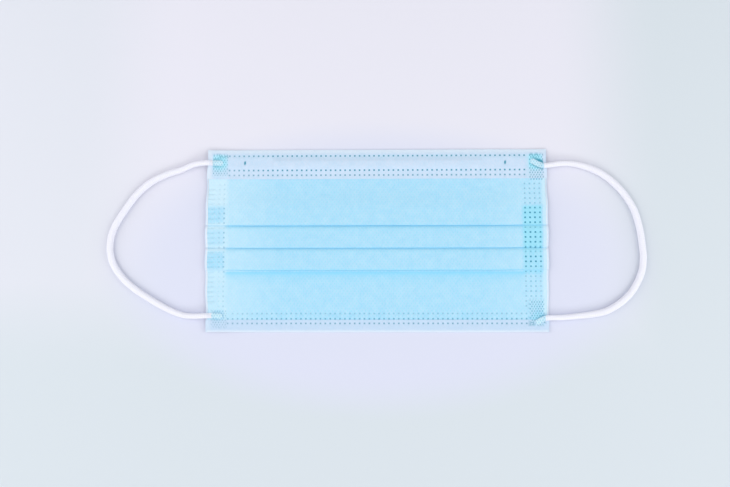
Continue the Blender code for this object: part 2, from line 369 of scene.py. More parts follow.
HEM_ROWS = [
    dict(low=-0.0850, high=0.0850, downs=TOP_MARKS[:1], melts=[0.88]),
    dict(low=-0.0770, high=0.0775, downs=TOP_MARKS[1:2], melts=[0.95]),
    dict(low=-0.0770, high=0.0775, downs=TOP_MARKS[2:], melts=[0.74]),
    dict(low=-0.0770, high=0.0800, downs=(HEM_MARK,), melts=[0.66]),
]


# The marks of the long rows grow fainter from here to the left-hand seam
FAINT_START = -0.052
FAINT_WIDTH = 0.024
LEFT_SEAM = -0.0775


def mark_strength(x, down, rows):
    """How strongly the cloth is melted at a place on the rollers' rows; 0 between the marks."""
    beside = abs((x - MARK_PHASE + MARK_PITCH / 2) % MARK_PITCH - MARK_PITCH / 2)
    for row in rows:
        if row["low"] <= x <= row["high"] and (row.get("joined") or beside < MARK / 2):
            for mark, melt in zip(row["downs"], row["melts"]):
                if abs(down - mark) < MARK / 2:
                    fainter = 0.3 * float(ease((FAINT_START - x) / FAINT_WIDTH)) * (x > LEFT_SEAM)
                    return melt * (1 - fainter)
    return 0.0


def emboss(bm, folding, rows):
    """Presses the rollers' marks into a flat cut, notes how it melted, and grids the patches finely."""
    melted = bm.verts.layers.float.new("melted")
    marked, fine = {}, set()
    sides = folding.side(np.array([f.calc_center_median().y for f in bm.faces]))
    for face, side in zip(list(bm.faces), sides):
        centre = face.calc_center_median()
        down = float(folding.down(centre.y))
        patch = in_patch(centre.x, down)
        if side == 1 and patch:
            fine.update(face.edges)
        elif side != 0:
            strength = mark_strength(centre.x, down, rows)
            if strength:
                marked[face] = strength
    bmesh.ops.inset_region(
        bm,
        faces=list(marked),
        thickness=MARK_WALL,
        depth=-MARK_DEPTH,
        use_even_offset=True,
        use_boundary=True,
    )
    for face, strength in marked.items():
        for vert in face.verts:
            vert[melted] = strength
    bmesh.ops.subdivide_edges(bm, edges=list(fine), cuts=KNURL_CUTS, use_grid_fill=True)
    return melted


# The welded ends of the ear loops: where each crosses the side edge and where it stops, as x and the
# distance from the nose edge
LOOP_ENDS = {
    "top_left": ((-0.0850, 0.0072), (-0.0797, 0.0074)),
    "bottom_left": ((-0.0843, 0.0862), (-0.0790, 0.0866)),
    "top_right": ((0.0862, 0.0092), (0.0794, 0.0062)),
    "bottom_right": ((0.0860, 0.0876), (0.0808, 0.0902)),
}

# How strongly the cloth melted in a streak above and a streak below each end, and how far off they lie
STREAKS = {
    "top_left": (0.52, 0.40),
    "bottom_left": (0.20, 0.16),
    "top_right": (1.0, 0.62),
    "bottom_right": (0.42, 0.05),
}
STREAK_OFF = 0.00170
STREAK_WIDTH = 0.0008
STREAK_DEPTH = 0.0001

# How strongly the pits of each patch melted, and how far its edge fades
PATCH_MELT = {"top_left": 0.60, "bottom_left": 0.44, "top_right": 0.82, "bottom_right": 0.70}
PATCH_FADE = 0.0006

# Small arcs that the welder's edge leaves in three patches: their centres, radius, width and melt
ARC_CENTRES = [(-0.0806, 0.0044), (-0.0781, 0.0044), (0.0800, 0.0040), (0.0826, 0.0040), (0.0789, 0.0905)]
ARC_RADIUS = 0.0008
ARC_WIDTH = 0.00028
ARC_REACH = 0.0014
ARC_BELOW = 0.0002
ARC_MELT = 0.6


def beside_loop(x, down, corner):
    """How far along a welded loop end a place lies, as a share, and how far above its middle line."""
    (x0, d0), (x1, d1) = LOOP_ENDS[corner]
    length = math.hypot(x1 - x0, d1 - d0)
    along = ((x - x0) * (x1 - x0) + (down - d0) * (d1 - d0)) / length**2
    above = ((x - x0) * (d1 - d0) - (down - d0) * (x1 - x0)) / length
    return along, above * (1 if x1 > x0 else -1)


def press_patches(points, melt, folding):
    """Heights of the knurled patches; adds their melted pits, and the streaks and arcs round the ends."""
    heights = np.zeros(len(points))
    down, side = folding.down(points[:, 1]), folding.side(points[:, 1])
    for i in np.nonzero(side == 1)[0]:
        x = points[i, 0]
        corner = in_patch(x, down[i], margin=1e-5)
        if not corner:
            continue
        left, right, top, bottom = PATCHES[corner]
        inside = min(x - left, right - x, down[i] - top, bottom - down[i])
        fade = float(ease(inside / PATCH_FADE + 0.2))
        relief = float(knurl(x, down[i]))
        pit = float(ease((-relief - 0.10) / 0.55))
        along, above = beside_loop(x, down[i], corner)
        streak = 0.0
        if -0.12 < along < 1.1:
            strength = STREAKS[corner][0 if above > 0 else 1] * float(ease(1.35 - along))
            streak = strength * float(ease(1.35 - abs(abs(above) - STREAK_OFF) / STREAK_WIDTH))
        heights[i] = KNURL_HEIGHT * relief * fade - STREAK_DEPTH * streak
        melt[i] = max(melt[i], fade * PATCH_MELT[corner] * pit, streak * fade)
        for arc_x, arc_down in ARC_CENTRES:
            out = math.hypot(x - arc_x, down[i] - arc_down)
            if down[i] - arc_down < ARC_BELOW and out < ARC_REACH:
                melt[i] = max(melt[i], ARC_MELT * float(ease(1.4 - abs(out - ARC_RADIUS) / ARC_WIDTH)))
    return heights


def sheet_of(name, bm, folding, heights, melt, notes):
    """Folds an embossed flat cut, lays it on the table and gives it its thickness."""
    mesh = bpy.data.meshes.new(name)
    chart = bm.loops.layers.uv.new("cloth")
    for edge in bm.edges:
        edge.smooth = not edge.is_boundary
    for face in bm.faces:
        face.smooth = True
        for loop in face.loops:
            loop[chart].uv = loop.vert.co.xy
    bm.to_mesh(mesh)
    bm.free()
    count = len(mesh.vertices)
    flat = np.empty(count * 3)
    mesh.vertices.foreach_get("co", flat)
    flat = flat.reshape(-1, 3)
    folded = settle(folding.fold(flat, flat[:, 2] + heights))
    mesh.vertices.foreach_set("co", folded.ravel())
    mesh.attributes["melted"].data.foreach_set("value", melt)
    for note_name, values in notes.items():
        layer = mesh.attributes.new(note_name, "FLOAT", "POINT")
        layer.data.foreach_set("value", np.asarray(values, dtype=np.float32))
    mesh.update()
    piece = bpy.data.objects.new(name, mesh)
    bpy.context.scene.collection.objects.link(piece)
    wall = piece.modifiers.new("ply", "SOLIDIFY")
    wall.thickness = PLY
    wall.offset = -1.0
    return piece


def values_of(bm, layer):
    """The points of a cut and their values in one of its layers, as arrays."""
    points = np.array([vert.co for vert in bm.verts])
    return points, np.array([vert[layer] for vert in bm.verts])


def band(value, low, high, soft):
    """1 between two places and 0 outside them, with soft ends."""
    return ease((value - low) / soft + 0.5) * ease((high - value) / soft + 0.5)


outer_folding = Folding(outer_rows)
cut = cut_flat(HALF_WIDTH - OUTER_INSET, outer_folding)
melted = emboss(cut, outer_folding, MARK_ROWS)
cut_points, cut_melt = values_of(cut, melted)
patch_heights = press_patches(cut_points, cut_melt, outer_folding)
cut_down, cut_side = outer_folding.down(cut_points[:, 1]), outer_folding.side(cut_points[:, 1])


# How much deeper and greener the cloth is round each welded end, and how far that reaches
PATCH_TONE = {"top_left": 0.75, "top_right": 0.95, "bottom_left": 0.20, "bottom_right": 0.45}
TONE_REACH = 0.0042

# The welded margins between the corners, as low and high x
RIGHT_MARGIN = (0.0750, 0.0852)
LEFT_MARGIN = (-0.0872, -0.0785)
LEFT_PALE = (-0.0900, -0.0772)
RIGHT_RIM = (0.0850, 0.0900)

# The parts of each margin that were pressed harder: from and to down the side, and how much deeper; and
# where the one on the right starts to fade
RIGHT_PRESSED = (0.0298, 0.0645, 0.80)
RIGHT_FADE = 0.0515
LEFT_PRESSED = ((0.0302, 0.0385, 0.25), (0.0420, 0.0505, 0.17), (0.0535, 0.0625, 0.28))

# The painted shade under each fold: its depth and how far it fades down the panel
FOLD_SHADES = ((0.66, 0.0013), (0.55, 0.0013), (1.20, 0.0022))
FOLD_SHADE_ABOVE = 0.0003


def knurled_tone(x, down):
    """The deeper, greener cloth round each welded loop end."""
    tone = np.zeros_like(x)
    for corner, strength in PATCH_TONE.items():
        (x0, d0), (x1, d1) = LOOP_ENDS[corner]
        below = down - (d0 + 2 * d1) / 3
        out = np.hypot(x - (x0 + 2 * x1) / 3, below * np.where(below > 0, 1.10, 0.85))
        left, right, top, bottom = PATCHES[corner]
        inside = band(x, left, right, 0.0010) * band(down, top, bottom, 0.0010)
        tone += strength * ease(1.5 - out / TONE_REACH) * inside
    return tone


def seam_tone(x, down):
    """How the welded margins differ from the panels: above 0 deeper and greener, below 0 paler."""
    top, bottom, depth = RIGHT_PRESSED
    right = depth * band(x, *RIGHT_MARGIN, 0.0012) * band(down, top, bottom, 0.0010)
    right *= 1 - 0.38 * ease((down - RIGHT_FADE) / 0.0030)
    right += knurled_tone(x, down)
    left = np.zeros_like(x)
    for top, bottom, depth in LEFT_PRESSED:
        left += depth * band(x, *LEFT_MARGIN, 0.0026) * band(down, top, bottom, 0.0026)
    pale = 0.62 * band(x, *LEFT_PALE, 0.0018) * (1 - np.minimum(left * 2.2, 1))
    pale *= 1 - 0.3 * ease((down - 0.062) / 0.01)
    # The panels pale a little towards both sides
    pale += 0.30 * ease((-x - 0.045) / 0.034) * (x > -0.0781)
    pale += 0.16 * ease((x - 0.050) / 0.030)
    rim = 0.42 * band(x, *RIGHT_RIM, 0.0012)
    return right * (1 - rim) + left - pale - rim


def painted_fold_shade(x, down, side):
    """1 in the painted shade under each fold, fading down the panel below it."""
    shade = np.zeros_like(x)
    for fold, (depth, fade) in zip(FOLDS, FOLD_SHADES):
        below = down - fold
        here = np.where(below >= 0, np.exp(-np.maximum(below, 0) / fade), np.exp(below / FOLD_SHADE_ABOVE))
        shade = np.maximum(shade, here * depth * (side == 1))
    return shade * (0.10 + 0.90 * band(x, -0.0782, 0.0755, 0.0020))


outer_notes = {
    "pressed": seam_tone(cut_points[:, 0], cut_down),
    "fold_shade_and_chin_tone": painted_fold_shade(cut_points[:, 0], cut_down, cut_side),
}
outer_ply = sheet_of("outer_ply", cut, outer_folding, patch_heights, cut_melt, outer_notes)


class Looks:
    """A material with its shader, and short ways to feed it. A source is a (node, output) pair."""

    def __init__(self, name):
        self.material = bpy.data.materials.new(name)
        self.material.use_nodes = True
        self.tree = self.material.node_tree
        self.shader = self.tree.nodes["Principled BSDF"]

    def add(self, kind, **settings):
        """A new node with its settings."""
        node = self.tree.nodes.new("ShaderNode" + kind)
        for key, value in settings.items():
            setattr(node, key, value)
        return node

    def feed(self, value, node, socket):
        """Gives a socket a number or a colour, or joins it to a source."""
        if isinstance(value, tuple) and len(value) == 2:
            self.tree.links.new(value[0].outputs[value[1]], node.inputs[socket])
        else:
            node.inputs[socket].default_value = value

    def surface(self, **settings):
        """Numbers, colours or sources for the shader; a socket's name has _ for each space."""
        for socket, value in settings.items():
            self.feed(value, self.shader, socket.replace("_", " "))

    def note(self, name):
        """A value that the mesh carries at each point."""
        return (self.add("Attribute", attribute_name=name), "Fac")

    def split(self, vector):
        """The first two parts of a vector."""
        node = self.add("SeparateXYZ")
        self.feed(vector, node, 0)
        return (node, 0), (node, 1)

    def maths(self, operation, *values):
        """One operation on numbers and sources, by its name in the Math node."""
        node = self.add("Math", operation=operation)
        for socket, value in enumerate(values):
            self.feed(value, node, socket)
        return (node, 0)

    def clamped(self, value):
        """A value held between 0 and 1."""
        node = self.add("Clamp")
        self.feed(value, node, 0)
        return (node, 0)

    def ramp(self, value, low, high, start=0.0, end=1.0, soft=False):
        """Goes from start to end while the value goes from low to high."""
        node = self.add("MapRange", interpolation_type="SMOOTHSTEP" if soft else "LINEAR")
        for socket, given in enumerate((value, low, high, start, end)):
            self.feed(given, node, socket)
        return (node, 0)

    def mixed(self, factor, first, second):
        """Two colours or sources of colour mixed."""
        node = self.add("Mix", data_type="RGBA")
        for socket, value in ((0, factor), (6, first), (7, second)):
            self.feed(value, node, socket)
        return (node, 2)

    def noise(self, place, dimensions, **settings):
        """Noise at a place, with its settings named as its sockets are."""
        node = self.add("TexNoise", noise_dimensions=dimensions)
        for socket, value in settings.items():
            node.inputs[socket].default_value = value
        self.feed(place, node, "Vector")
        return (node, 0)

    def bump(self, height, strength, distance):
        """Lets a height show as fine relief."""
        node = self.add("Bump")
        for socket, value in (("Strength", strength), ("Distance", distance), ("Height", height)):
            self.feed(value, node, socket)
        self.surface(Normal=(node, 0))


# The pitch of the bond points, and three ways that the fibres lie: a turn and how far noise is drawn out
BOND_ACROSS = 0.00188
BOND_ALONG = 0.00253
FIBRE_LIES = (
    (0.35, (2600.0, 260.0, 1.0)),
    (-0.6, (2300.0, 240.0, 1.0)),
    (1.45, (2500.0, 300.0, 1.0)),
)


def spunbond(name, bonding, colours):
    """Nonwoven cloth: tangled fibres, diamond bond points, cloudy thickness, melted weld marks and painted
    shade under the folds.
    """
    looks = Looks(name)
    chart = (looks.add("UVMap", uv_map="cloth"), 0)
    chart_x, chart_y = looks.split(chart)

    # Bond points: a staggered grid of small diamonds where the fibres are fused
    across = looks.maths("COSINE", looks.maths("MULTIPLY", chart_x, 2 * math.pi / BOND_ACROSS))
    along = looks.maths("COSINE", looks.maths("MULTIPLY", chart_y, 2 * math.pi / BOND_ALONG))
    bonds = looks.ramp(looks.maths("MULTIPLY", across, along), 0.05, 0.75, soft=True)

    # Fibres: noise drawn out in three directions
    fibres = None
    for turn, stretch in FIBRE_LIES:
        lie = looks.add("Mapping", vector_type="POINT")
        lie.inputs["Rotation"].default_value = (0.0, 0.0, turn)
        lie.inputs["Scale"].default_value = stretch
        looks.feed(chart, lie, 0)
        strand = looks.noise((lie, 0), "2D", Scale=1.0, Detail=2.0, Distortion=0.6)
        fibres = strand if fibres is None else looks.maths("MAXIMUM", fibres, strand)
    web = looks.ramp(fibres, 0.45, 0.75)

    # Clouds: where the web of fibres lies thicker or thinner
    cloud = looks.noise(chart, "2D", Scale=210.0, Detail=6.0, Roughness=0.80)
    cloudy = looks.ramp(cloud, 0.35, 0.65)

    # Colours: first the web and its bond points, then what was noted on the mesh
    colour = looks.mixed(cloudy, colours["deep"], colours["thin"])
    colour = looks.mixed(looks.maths("MULTIPLY", web, 0.42), colour, colours["base"])
    colour = looks.mixed(looks.maths("MULTIPLY", bonds, bonding), colour, colours["pressed"])
    pressed = looks.note("pressed")
    more = looks.clamped(pressed)
    less = looks.clamped(looks.maths("MULTIPLY", pressed, -1.0))
    colour = looks.mixed(more, colour, colours["pressed"])
    colour = looks.mixed(less, colour, colours["pale"])
    # Painted shade under the folds of the blue ply; on the white ply the same layer only makes the chin hem
    # darker
    for note in ("fold_shade_and_chin_tone", "bare"):
        colour = looks.mixed(looks.note(note), colour, colours[note])
    melt = looks.note("melted")
    colour = looks.mixed(melt, colour, colours["melted"])

    # Melted marks are smoother than the fibres round them
    rough = looks.ramp(melt, 0.0, 1.0, start=0.78, end=0.42)
    looks.surface(Base_Color=colour, Roughness=rough, Specular_IOR_Level=0.28)
    looks.surface(Sheen_Weight=0.12, Sheen_Roughness=0.5)
    relief = looks.maths("SUBTRACT", web, looks.maths("MULTIPLY", bonds, 0.9))
    relief = looks.maths("ADD", relief, looks.maths("MULTIPLY", cloudy, 0.6))
    looks.bump(relief, strength=0.6, distance=0.00007)
    return looks.material


BLUE = {
    "base": paint(191, 227, 247),
    "deep": paint(161, 215, 244),
    "thin": paint(179, 222, 246),
    "melted": paint(54, 150, 184),
    "pressed": paint(146, 224, 243),
    "pale": paint(218, 240, 249),
    # Painted shade under the folds
    "fold_shade_and_chin_tone": paint(134, 214, 244),
    "bare": paint(184, 224, 248),
}
outer_ply.data.materials.append(spunbond("blue spunbond", bonding=0.50, colours=BLUE))
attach(outer_ply, "root")
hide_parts("pleated_body")

# Inner ply.
# White spunbond on the side of the face. It follows the blue ply through every pleat, and its two long
# edges are turned round onto the front as the nose and chin hems, where the blue shows through it.
WIRE_LOW, WIRE_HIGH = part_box("nose_wire")
WIRE_MIDDLE = TOP_EDGE - (WIRE_LOW.y + WIRE_HIGH.y) / 2
WIRE_HALF = (WIRE_HIGH.y - WIRE_LOW.y) / 2
WIRE_END = WIRE_HIGH.x

# The turned hems: where their bend starts inside the edge, how far they stay off the blue ply, the ridge
# over the wire and the softer swelling beside it, and the two crimps
TURN = 0.0006
FLAP_CLEAR = 0.00006
CHIN_CLEAR = 0.00015
RIDGE_HEIGHT = 0.00090
RIDGE_PAST_SIDES = 0.0002
RIDGE_PAST_ENDS = 0.0009
PUFF = 0.35
PUFF_INSIDE = 0.0004
CRIMP_DOWN = 0.00730
CRIMP_HALF = 0.00085
CRIMP_WIDE = 0.00040
CRIMP_SOFT = 0.0004
CRIMP_DEPTH = 0.0003
CRIMP_MELT = 1.25


def inner_rows(gap, half):
    """The outer side of the white ply: nose hem, the back through all the pleats, then the chin hem."""
    nose_top = 2 * half + OFF_TABLE + CUSHION + PLY + FLAP_CLEAR
    nose_bend = (nose_top - pinch(TURN)) / 2
    chin_top = 2 * half + OFF_TABLE + CHIN_CLEAR
    chin_turn = MASK_HEIGHT - TURN
    marks = [*TOP_MARKS, CRIMP_DOWN - CRIMP_HALF, CRIMP_DOWN + CRIMP_HALF]
    rows = [(down, nose_top - pinch(down), 1) for down in stops(TURN, TOP_HEM, marks, STEP)[::-1]]
    rows += [(*p, 1) for p in arc((TURN, nose_bend), nose_bend, 90, 270)]
    rows += pleated(gap, half, -1, TURN, chin_turn)
    rows += [(*p, 1) for p in arc((chin_turn, chin_top / 2), chin_top / 2, -90, 90)]
    chin = stops(MASK_HEIGHT - CHIN_HEM, chin_turn, (HEM_MARK,), STEP)
    rows += [(down, chin_top, 1) for down in chin[::-1]]
    return rows


def wire_ridge(points, folding):
    """Heights of the hem where it lies over the nose wire, and of the softer swelling beside it."""
    down, side, x = folding.down(points[:, 1]), folding.side(points[:, 1]), points[:, 0]
    reach = WIRE_HALF + RIDGE_PAST_SIDES
    end = WIRE_END + RIDGE_PAST_ENDS
    over = band(down, WIRE_MIDDLE - reach, WIRE_MIDDLE + reach, 0.0011) * band(x, -end, end, 0.0016)
    puff = band(down, TOP_MARKS[0] + PUFF_INSIDE, TOP_MARKS[1] - PUFF_INSIDE, 0.0022) * (1 - over) * PUFF
    puff = puff * band(x, -0.0765, 0.0765, 0.003)
    flap = (side == 1) & (down < TOP_HEM)
    return np.where(flap, over + puff, 0.0) * RIDGE_HEIGHT


def press_crimps(points, melt, folding, heights):
    """The two short dashes that are pressed through the hem beyond the wire's ends."""
    down, side, x = folding.down(points[:, 1]), folding.side(points[:, 1]), points[:, 0]
    for place in CRIMPS:
        dash = band(x, place - CRIMP_WIDE, place + CRIMP_WIDE, CRIMP_SOFT)
        dash = dash * band(down, CRIMP_DOWN - CRIMP_HALF, CRIMP_DOWN + CRIMP_HALF, CRIMP_SOFT) * (side == 1)
        heights -= dash * CRIMP_DEPTH
        np.maximum(melt, dash * CRIMP_MELT, out=melt)


inner_folding = Folding(inner_rows)
cut = cut_flat(HALF_WIDTH, inner_folding)
melted = emboss(cut, inner_folding, HEM_ROWS)
cut_points, cut_melt = values_of(cut, melted)
hem_heights = press_patches(cut_points, cut_melt, inner_folding) + wire_ridge(cut_points, inner_folding)
press_crimps(cut_points, cut_melt, inner_folding, hem_heights)


# Where the hems' tone changes: at the welded corners, across and down, along the top row of marks, and at
# the paler rims of the sides and the nose edge
CORNER_ACROSS = (0.0775, 0.0856)
CORNER_DOWN = (0.0030, 0.0150)
TOP_ROW = (0.0028, 0.0052)
SIDE_RIM = (0.0853, 0.0900)
NOSE_RIM = 0.0026


def hem_tone(x, down):
    """The hems' tone: deeper at the welded corners and the top row of marks, paler along the edges."""
    corner = band(np.abs(x), *CORNER_ACROSS, 0.0020) * band(down, *CORNER_DOWN, 0.0030)
    deeper = knurled_tone(x, down) + 0.15 * corner + 0.10 * band(down, *TOP_ROW, 0.0018)
    pale = 0.6 * band(-x, *SIDE_RIM, 0.0012) + 0.25 * band(x, *SIDE_RIM, 0.0012)
    return deeper - np.maximum(pale, 0.6 * ease((NOSE_RIM - down) / 0.0012))


# Where the white ply has the blue one under it, and where its side edge is fused clear
cut_down, cut_side = inner_folding.down(cut_points[:, 1]), inner_folding.side(cut_points[:, 1])
cut_aside = np.abs(cut_points[:, 0])
on_front = np.where((cut_side == 1) | (cut_down < TURN), 1.0, 0.0)
over_blue = on_front * (1 - 0.12 * band(cut_aside, HALF_WIDTH - OUTER_INSET, 0.1, 0.0005))
over_blue *= 0.45 + 0.55 * ease((MASK_HEIGHT - 0.0005 - cut_down) / 0.0005)
fused_rim = band(cut_aside, HALF_WIDTH - 0.0006, 0.1, 0.0006)
inner_notes = {
    "pressed": hem_tone(cut_points[:, 0], cut_down) * on_front,
    "bare": (1 - over_blue) * (1 - 0.8 * fused_rim),
    # On this ply the fold-shade layer paints no shade; it only makes the chin hem a little darker
    "fold_shade_and_chin_tone": on_front * ease((cut_down - 0.080) / 0.004) * 0.4,
}
inner_ply = sheet_of("inner_ply", cut, inner_folding, hem_heights, cut_melt, inner_notes)
WHITE = {
    "base": paint(211, 226, 244),
    "deep": paint(193, 218, 241),
    "thin": paint(205, 222, 243),
    "melted": paint(62, 150, 176),
    "pressed": paint(170, 232, 250),
    "pale": paint(226, 238, 248),
    # The chin hem's darker tone
    "fold_shade_and_chin_tone": paint(186, 212, 238),
    "bare": paint(238, 243, 250),
}
inner_ply.data.materials.append(spunbond("white spunbond over blue", bonding=0.12, colours=WHITE))
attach(inner_ply, "root")
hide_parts("top_hem", "bottom_hem")

# Nose wire.
# A flat strip of white plastic over fine soft wire, slipped into the nose hem before it is welded. Only
# its outline shows through the hem.
WIRE_THICK = 0.00042
CORE_HEIGHT = 0.00008
CORE_HALF = 0.0005
bm = bmesh.new()
bmesh.ops.create_grid(bm, x_segments=60, y_segments=6, size=0.5)
for vert in bm.verts:
    across, along = vert.co.y * 2 * WIRE_HALF, vert.co.x * 2 * WIRE_END
    core = CORE_HEIGHT * math.cos(min(1.0, abs(across) / CORE_HALF) * math.pi / 2)
    vert.co = (along, TOP_EDGE - WIRE_MIDDLE + across, WIRE_LOW.z + WIRE_THICK + core)
extruded = bmesh.ops.extrude_face_region(bm, geom=list(bm.faces))["geom"]
skin_verts = [item for item in extruded if isinstance(item, bmesh.types.BMVert)]
bmesh.ops.translate(bm, verts=skin_verts, vec=(0, 0, -WIRE_THICK))
for vert in bm.verts:
    vert.co = settle(np.array([vert.co]))[0]
bmesh.ops.recalc_face_normals(bm, faces=bm.faces)
wire_mesh = bpy.data.meshes.new("nose_wire_strip")
bm.to_mesh(wire_mesh)
bm.free()
wire_strip = bpy.data.objects.new("nose_wire_strip", wire_mesh)
bpy.context.scene.collection.objects.link(wire_strip)
wire_looks = Looks("nose wire plastic")
wire_looks.surface(Base_Color=paint(226, 229, 236), Roughness=0.4)
wire_mesh.materials.append(wire_looks.material)
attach(wire_strip, "root")
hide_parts("nose_wire")

# Ear loops.
# Round white elastic knitted over spandex, 3 mm thick. Each end is pressed flat and welded to the front
# of a corner, and the cord between them lies loose on the table.
LOOP_DIAMETER = 0.0030

# The loops' routes from the nose corner to the chin corner: how far out from the side edge, and how far up
# from the middle of the mask
LEFT_ROUTE = [
    (0.0075, 0.0394),
    (0.0140, 0.0369),
    (0.0230, 0.0340),
    (0.0310, 0.0298),
    (0.0381, 0.0232),
    (0.0441, 0.0148),
    (0.0488, 0.0067),
    (0.0508, -0.0018),
    (0.0498, -0.0098),
    (0.0457, -0.0173),
    (0.0391, -0.0238),
    (0.0310, -0.0294),
    (0.0216, -0.0348),
    (0.0140, -0.0380),
    (0.0075, -0.0390),
]
RIGHT_ROUTE = [
    (0.0072, 0.0393),
    (0.0142, 0.0391),
    (0.0234, 0.0364),
    (0.0310, 0.0320),
    (0.0384, 0.0247),
    (0.0438, 0.0161),
    (0.0466, 0.0068),
    (0.0479, -0.0024),
    (0.0483, -0.0100),
    (0.0469, -0.0177),
    (0.0425, -0.0260),
    (0.0369, -0.0317),
    (0.0294, -0.0363),
    (0.0216, -0.0382),
    (0.0140, -0.0391),
    (0.0072, -0.0397),
]

# The left-hand loop lies this much nearer than its route says, all of it from a little way out
LEFT_NEARER = 0.0006
NEARER_FROM = 0.02

# Half of the cord's width and of its height in diameters, at the mask and how much is gained out in the
# loop; then half of the width and of the height where it is pressed flat
WIDTH_AT_MASK = 0.47
WIDTH_GAIN = 0.12
HEIGHT_AT_MASK = 0.45
HEIGHT_GAIN = 0.06
FULL_FROM = 0.030
FLAT_WIDTH = 0.00138
FLAT_HEIGHT = 0.00030
FLAT_SOFT = 0.0030
TIP_ROUND = 0.0011

# How high the two ends lie on the hems, and how the cord comes down from there to the table
NOSE_SEAT = 0.00066
CHIN_SEAT = 0.00026
LANDING_START = 0.0012
LANDING = 0.0120

# The knit: rings along the cord, sides round it, wales and stitches, and how deep the relief is
RING_STEP = 0.00024
SIDES = 36
WALES = 9
WALE_DEPTH = 0.05
STITCH = 0.00095
STITCH_SLANT = 0.35
STITCH_DEPTH = 0.035
PIT_DEPTH = 0.00010
PIT_MELT = 0.55


def smooth_line(points, step):
    """Points at an even step along a smooth curve through all the given points."""
    fine = []
    for i in range(len(points) - 1):
        p0, p1, p2, p3 = (points[min(max(k, 0), len(points) - 1)] for k in (i - 1, i, i + 1, i + 2))
        for t in np.linspace(0, 1, 24, endpoint=False):
            square = (2 * p0 - 5 * p1 + 4 * p2 - p3) * t**2
            cube = (3 * p1 - p0 - 3 * p2 + p3) * t**3
            fine.append(0.5 * (2 * p1 + (p2 - p0) * t + square + cube))
    fine = np.array([*fine, points[-1]])
    along = np.concatenate([[0.0], np.cumsum(np.linalg.norm(np.diff(fine, axis=0), axis=1))])
    count = round(along[-1] / step)
    places = np.linspace(0, along[-1], count + 1)
    return np.stack([np.interp(places, along, fine[:, k]) for k in (0, 1)], axis=1), places


def loop_path(side, route, upper, lower):
    """The cord's middle line from tip to tip, with its half width and half height at each point."""
    ends = []
    for corner in (upper, lower):
        (x0, d0), (x1, d1) = LOOP_ENDS[corner]
        ends.append([np.array((x1, TOP_EDGE - d1)), np.array((x0, TOP_EDGE - d0))])
    nearer = LEFT_NEARER if side < 0 else 0
    drawn = [(out - nearer * min(1, out / NEARER_FROM), up) for out, up in route]
    points = ends[0] + [np.array((side * (HALF_WIDTH + out), up)) for out, up in drawn] + ends[1][::-1]
    plan, along = smooth_line(points, RING_STEP)
    out = np.abs(plan[:, 0]) - HALF_WIDTH
    flat = ease((0.0004 - out) / FLAT_SOFT)
    full = ease(out / FULL_FROM)
    half_width = LOOP_DIAMETER * (WIDTH_AT_MASK + WIDTH_GAIN * full) * (1 - flat) + FLAT_WIDTH * flat
    half_height = LOOP_DIAMETER * (HEIGHT_AT_MASK + HEIGHT_GAIN * full) * (1 - flat) + FLAT_HEIGHT * flat
    tip = np.clip(np.minimum(along, along[-1] - along) / TIP_ROUND, 0.06, 1)
    half_width = half_width * np.sqrt(1 - (1 - tip) ** 2)
    lift = side_lift(plan[:, 0], plan[:, 1], np.clip(1 + out / LIFT_WIDTH, 0, 1))
    seat = np.where(plan[:, 1] > 0, NOSE_SEAT, CHIN_SEAT) + lift
    seat = seat * (1 - ease((out - LANDING_START) / LANDING))
    return np.column_stack([plan, seat + half_height]), along, half_width, half_height


def ear_loop(name, side, route, upper, lower):
    """A knitted cord: rings round its line, with the wales and stitches of the knit as relief."""
    path, along, half_width, half_height = loop_path(side, route, upper, lower)
    bm = bmesh.new()
    bmesh.ops.create_grid(bm, x_segments=SIDES, y_segments=len(path) - 1, size=0.5)
    tangent = np.gradient(path, axis=0)
    tangent /= np.linalg.norm(tangent, axis=1, keepdims=True)
    aside = np.cross(tangent, (0, 0, 1))
    aside /= np.linalg.norm(aside, axis=1, keepdims=True)
    up = np.cross(aside, tangent)
    melted = bm.verts.layers.float.new("melted")
    tinted = bm.verts.layers.float.new("pressed")
    chart = bm.loops.layers.uv.new("cord")
    for vert in bm.verts:
        i = round((vert.co.x + 0.5) * SIDES)
        j = round((vert.co.y + 0.5) * (len(path) - 1))
        vert.co = (i, j, 0)
    for face in bm.faces:
        face.smooth = True
        for loop in face.loops:
            loop[chart].uv = (loop.vert.co.x / SIDES, along[int(loop.vert.co.y)])
    for vert in bm.verts:
        i, j = int(vert.co.x), int(vert.co.y)
        angle = 2 * math.pi * i / SIDES
        wale = abs((i / SIDES * WALES) % 1 - 0.5) * 2
        stitch = math.cos(2 * math.pi * (along[j] / STITCH + STITCH_SLANT * wale))
        soft = min(1.0, half_height[j] / (LOOP_DIAMETER / 2))
        relief = 1 + soft * (WALE_DEPTH * (1 - wale) - WALE_DEPTH + STITCH_DEPTH * stitch)
        place = path[j] + aside[j] * half_width[j] * math.cos(angle) * relief
        place = place + up[j] * half_height[j] * math.sin(angle) * relief
        if soft < 0.6 and math.sin(angle) > 0.1 and in_patch(place[0], TOP_EDGE - place[1]):
            pit = float(knurl(place[0], TOP_EDGE - place[1]))
            place[2] += PIT_DEPTH * pit * (1 - soft)
            vert[melted] = PIT_MELT * float(ease((-pit - 0.30) / 0.50))
            vert[tinted] = 1.0
        vert.co = place
    bmesh.ops.remove_doubles(bm, verts=bm.verts, dist=1e-6)
    bmesh.ops.holes_fill(bm, edges=[e for e in bm.edges if e.is_boundary], sides=0)
    bmesh.ops.recalc_face_normals(bm, faces=bm.faces)
    mesh = bpy.data.meshes.new(name)
    bm.to_mesh(mesh)
    bm.free()
    piece = bpy.data.objects.new(name, mesh)
    bpy.context.scene.collection.objects.link(piece)
    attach(piece, "root")
    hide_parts(name.replace("cord", "loop"), "loop_weld_" + upper, "loop_weld_" + lower)
    return piece


